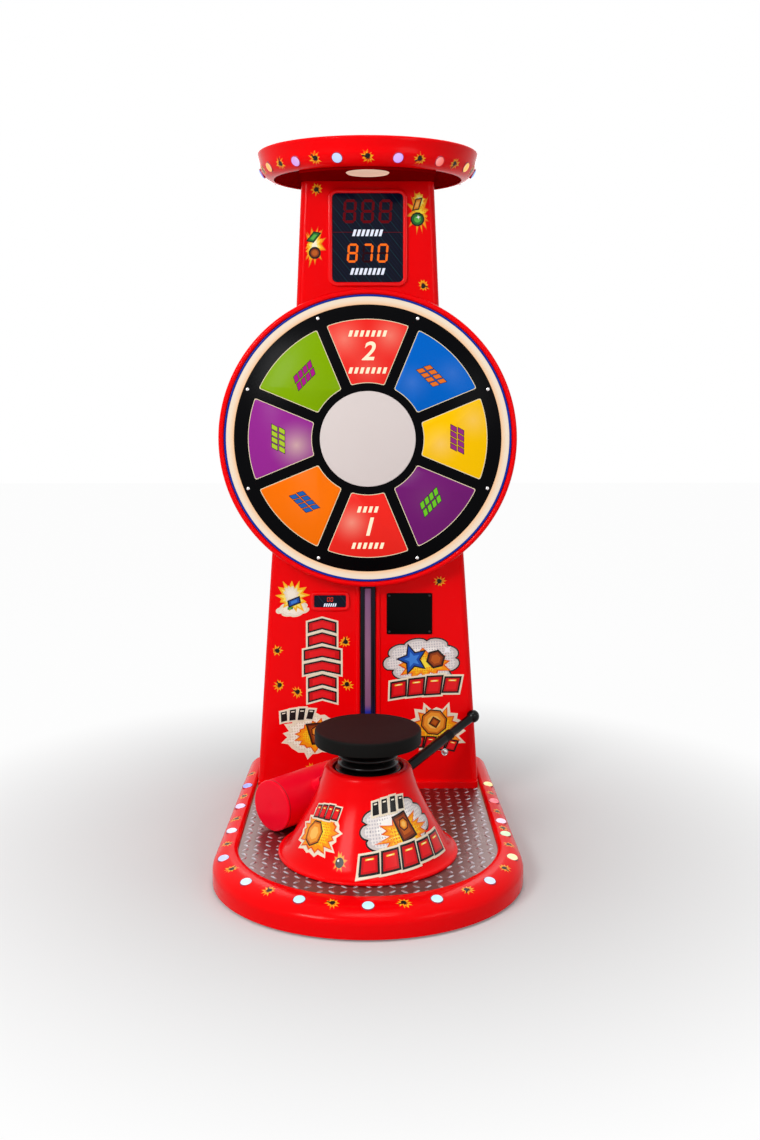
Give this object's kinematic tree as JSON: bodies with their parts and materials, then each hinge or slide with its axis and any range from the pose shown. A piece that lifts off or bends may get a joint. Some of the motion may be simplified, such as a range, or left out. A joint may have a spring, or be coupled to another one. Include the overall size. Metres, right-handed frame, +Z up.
{
  "type": "high striker",
  "caption": "Arcade hammer machine: a sprung strike pad on a cone stands on a lit tread deck before a tapered cabinet with a prize wheel, a score display and a round canopy; soft mallet.",
  "frame": {"origin": "middle of the footprint, on the floor", "axes": "+X right, +Y away from the player, +Z up"},
  "size_m": [0.9799, 1.31, 2.195],
  "materials": {
    "red_shell": "glossy moulded shell",
    "red_soffit": "satin moulded panel",
    "frame_steel": "powder coat",
    "foot_rubber": "matt rubber",
    "deck_wood": "plywood",
    "tread_aluminium": "five-bar tread, satin",
    "lamp_lens": "clear lit lens",
    "post_steel": "turned steel",
    "bush_brass": "turned bronze",
    "sensor_rubber": "moulded sensor pad",
    "spring_steel": "spring steel",
    "bellows_rubber": "glossy rubber bellows",
    "pad_rubber": "dense rubber",
    "shaft_chrome": "hard chrome",
    "panel_black": "textured powder coat",
    "box_grey": "grey enamel",
    "supply_aluminium": "pressed case",
    "board_green": "circuit board",
    "inlet_black": "moulded inlet",
    "switch_red": "rocker",
    "backer_white": "white board",
    "blue_trim": "gloss blue",
    "glow_cream": "lit diffuser",
    "face_black": "gloss acrylic",
    "pane_red": "lit acrylic",
    "pane_blue": "lit acrylic",
    "pane_yellow": "lit acrylic",
    "pane_purple": "lit acrylic",
    "pane_orange": "lit acrylic",
    "pane_magenta": "lit acrylic",
    "pane_green": "lit acrylic",
    "hub_white": "lit acrylic",
    "screw_silver": "bright screws",
    "display_dark": "dark acrylic",
    "digit_dim": "unlit red segments",
    "digit_lit": "lit orange segments",
    "credit_lit": "lit red segments",
    "warm_lens": "warm lit lens",
    "strip_black": "dark channel",
    "strip_violet": "diffuser",
    "plate_black": "satin black",
    "lock_chrome": "lock",
    "vinyl_red": "soft vinyl",
    "neck_rubber": "smooth rubber",
    "handle_black": "gloss black"
  },
  "bodies": {
    "machine": {"base_shell": "red_shell", "floor_frame": "frame_steel", "rubber_feet": "foot_rubber", "deck_board": "deck_wood", "tread_plate": "tread_aluminium", "base_lamps": "lamp_lens", "cone_shell": "red_shell", "post_base": "post_steel", "striker_post": "post_steel", "post_flange": "post_steel", "guide_bush": "bush_brass", "impact_sensor": "sensor_rubber", "return_spring": "spring_steel", "bellows": "bellows_rubber", "cabinet_shell": "red_shell", "rear_panel": "panel_black", "door_hinge": "post_steel", "hinge_pin": "shaft_chrome", "cash_box": "box_grey", "power_supply": "supply_aluminium", "control_board": "board_green", "power_inlet": "inlet_black", "wheel_housing": "red_shell", "wheel_backer": "backer_white", "blue_trim_ring": "blue_trim", "glow_ring": "glow_cream", "wheel_face": "face_black", "pane_red": "pane_red", "pane_blue": "pane_blue", "pane_yellow": "pane_yellow", "pane_purple": "pane_purple", "pane_orange": "pane_orange", "pane_magenta": "pane_magenta", "pane_green": "pane_green", "hub_disc": "hub_white", "face_screws": "screw_silver", "display_bezel": "red_shell", "display_panel": "display_dark", "score_digits": "digit_dim", "record_digits": "digit_lit", "credit_bezel": "red_shell", "credit_panel": "display_dark", "credit_digits": "credit_lit", "canopy_shell": "red_shell", "canopy_soffit": "red_soffit", "soffit_lamp": "warm_lens", "canopy_lamps": "lamp_lens", "strip_channel": "strip_black", "strip_light": "strip_violet", "cover_plate": "plate_black"},
    "striker": {"pad_plate": "post_steel", "strike_pad": "pad_rubber", "plunger_shaft": "shaft_chrome", "stop_collar": "post_steel"},
    "mallet": {"mallet_head": "vinyl_red", "mallet_caps": "vinyl_red", "mallet_neck": "neck_rubber", "mallet_handle": "handle_black"},
    "door": {"service_door": "panel_black"},
    "lock": {"door_lock": "lock_chrome"},
    "switch": {"power_switch": "switch_red"},
    "key": {"key_lock": "lock_chrome"}
  },
  "joints": [
    {"name": "strike_pad_travel", "type": "slide", "parent": "machine", "child": "striker", "axis": [0, 0, -1], "range_m": [0, 0.03], "stiffness_N_per_m": 8000, "springref_m": -0.03, "deforming": ["return_spring", "bellows"]},
    {"name": "mallet_lift", "type": "slide", "parent": "machine", "child": "mallet", "axis": [0, 0, 1], "range_m": [0, 0.3]},
    {"name": "service_door_swing", "type": "hinge", "parent": "machine", "child": "door", "pos_m": [-0.224, 0.6398, 0.43], "axis": [0, 0, 1], "range_deg": [0, 110]},
    {"name": "door_lock_turn", "type": "hinge", "parent": "door", "child": "lock", "pos_m": [0.188, 0.634, 0.43], "axis": [0, -1, 0], "range_deg": [0, 90]},
    {"name": "power_switch_rock", "type": "hinge", "parent": "machine", "child": "switch", "pos_m": [0.28, 0.628, 0.168], "axis": [1, 0, 0], "range_deg": [0, 16]},
    {"name": "key_turn", "type": "hinge", "parent": "machine", "child": "key", "pos_m": [0.26, 0.345, 0.19], "axis": [0, 1, 0], "range_deg": [0, 90]}
  ]
}
